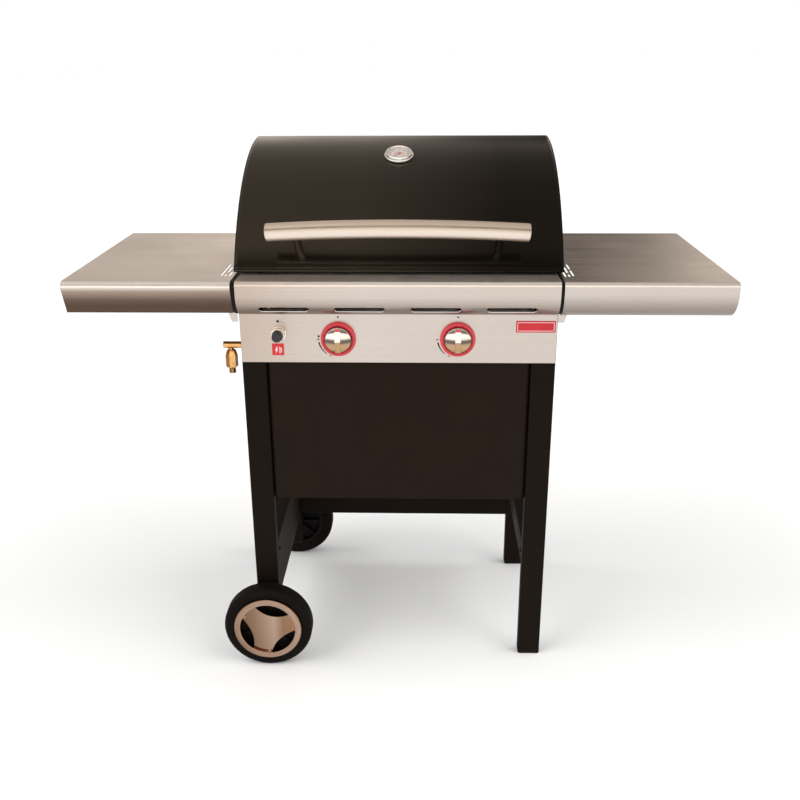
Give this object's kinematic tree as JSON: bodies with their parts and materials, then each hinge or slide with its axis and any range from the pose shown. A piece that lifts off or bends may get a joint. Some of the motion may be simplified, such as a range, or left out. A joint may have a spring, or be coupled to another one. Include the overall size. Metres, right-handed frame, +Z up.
{
  "type": "gas barbecue grill",
  "caption": "Gas grill on a trolley: hinged curved lid with bar handle and thermometer, knobs, side shelves, wheels.",
  "frame": {"origin": "on the floor, under the middle of the bounding box", "axes": "+X towards the cook's right hand, -Y towards the cook, +Z up"},
  "size_m": [1.22, 0.508, 1.0276],
  "materials": {
    "stainless": "brushed, satin",
    "satin_black": "satin powder coat",
    "black_enamel": "glossy enamel",
    "chrome": "polished",
    "brass": "turned",
    "tyre": "semi-matte",
    "wheel_black": "moulded",
    "cast_iron": "seasoned matte",
    "burner_steel": "plain stainless",
    "tray_metal": "dull",
    "red_gloss": "glossy",
    "red_plate": "printed plate, plain",
    "black_button": "moulded",
    "black_plastic": "moulded",
    "ceramic": "glazed",
    "dial_face": "printed dial",
    "needle": "matte",
    "glass": "clear",
    "zinc": "zinc plated"
  },
  "bodies": {
    "trolley": {"leg_front_left": "satin_black", "leg_front_right": "satin_black", "leg_rear_left": "satin_black", "leg_rear_right": "satin_black", "leg_caps": "black_plastic", "side_rail_left": "satin_black", "side_rail_right": "satin_black", "rear_crossbar": "satin_black", "front_apron": "satin_black", "frame_screws": "zinc", "wheel_axle": "zinc", "axle_nuts": "zinc", "axle_washers": "zinc", "firebox": "black_enamel", "tray_rails": "black_enamel", "burners": "burner_steel", "heat_plates": "burner_steel", "electrodes": "ceramic", "grate_left": "cast_iron", "grate_right": "cast_iron", "warming_rack": "chrome", "hinge_brackets": "satin_black", "hinge_pins": "zinc", "control_panel": "stainless", "panel_seals": "black_plastic", "knob_bezels": "red_gloss", "gas_valves": "brass", "manifold": "brass", "gas_inlet": "brass", "igniter_body": "chrome", "side_shelf_left": "stainless", "side_shelf_right": "stainless", "shelf_brackets": "satin_black", "badge_plate": "red_plate", "igniter_label": "red_plate"},
    "lid": {"lid_shell": "black_enamel", "lid_end_left": "black_enamel", "lid_end_right": "black_enamel", "handle_tube": "stainless", "handle_end_caps": "stainless", "handle_posts": "chrome", "handle_screws": "zinc", "thermometer_case": "chrome", "thermometer_dial": "dial_face", "thermometer_glass": "glass"},
    "needle": {"thermometer_needle": "needle"},
    "left_collar": {"collar_left": "zinc"},
    "left_knob": {"knob_left": "chrome", "stem_left": "brass"},
    "right_collar": {"collar_right": "zinc"},
    "right_knob": {"knob_right": "chrome", "stem_right": "brass"},
    "igniter_button": {"igniter_button": "black_button"},
    "front_wheel": {"tyre_front": "tyre", "rim_front": "wheel_black", "hub_cap_front": "chrome"},
    "rear_wheel": {"tyre_rear": "tyre", "rim_rear": "wheel_black", "hub_cap_rear": "chrome"},
    "drip_tray": {"drip_tray": "tray_metal"}
  },
  "joints": [
    {"name": "lid_hinge", "type": "hinge", "parent": "trolley", "child": "lid", "pos_m": [0, 0.2252, 0.838], "axis": [-1, 0, 0], "range_deg": [0, 88]},
    {"name": "needle_turn", "type": "hinge", "parent": "lid", "child": "needle", "pos_m": [-0.003, 0.0393, 1.0006], "axis": [0, 0.3584, -0.9336], "range_deg": [0, 270], "stiffness_Nm_per_rad": 0.001},
    {"name": "left_knob_push", "type": "slide", "parent": "trolley", "child": "left_collar", "axis": [0, 1, 0], "range_m": [0, 0.004], "stiffness_N_per_m": 1500, "springref_m": -0.002},
    {"name": "left_knob_turn", "type": "hinge", "parent": "left_collar", "child": "left_knob", "pos_m": [-0.111, -0.2, 0.698], "axis": [0, -1, 0], "range_deg": [0, 150]},
    {"name": "right_knob_push", "type": "slide", "parent": "trolley", "child": "right_collar", "axis": [0, 1, 0], "range_m": [0, 0.004], "stiffness_N_per_m": 1500, "springref_m": -0.002},
    {"name": "right_knob_turn", "type": "hinge", "parent": "right_collar", "child": "right_knob", "pos_m": [0.111, -0.2, 0.698], "axis": [0, -1, 0], "range_deg": [0, 150]},
    {"name": "igniter_press", "type": "slide", "parent": "trolley", "child": "igniter_button", "axis": [0, 1, 0], "range_m": [0, 0.008], "stiffness_N_per_m": 500, "springref_m": -0.004},
    {"name": "front_wheel_spin", "type": "hinge", "parent": "trolley", "child": "front_wheel", "pos_m": [-0.269, -0.229, 0.09], "axis": [0, 1, 0], "continuous": true},
    {"name": "rear_wheel_spin", "type": "hinge", "parent": "trolley", "child": "rear_wheel", "pos_m": [-0.269, 0.229, 0.09], "axis": [0, 1, 0], "continuous": true},
    {"name": "tray_slide", "type": "slide", "parent": "trolley", "child": "drip_tray", "axis": [0, 1, 0], "range_m": [0, 0.24]}
  ]
}
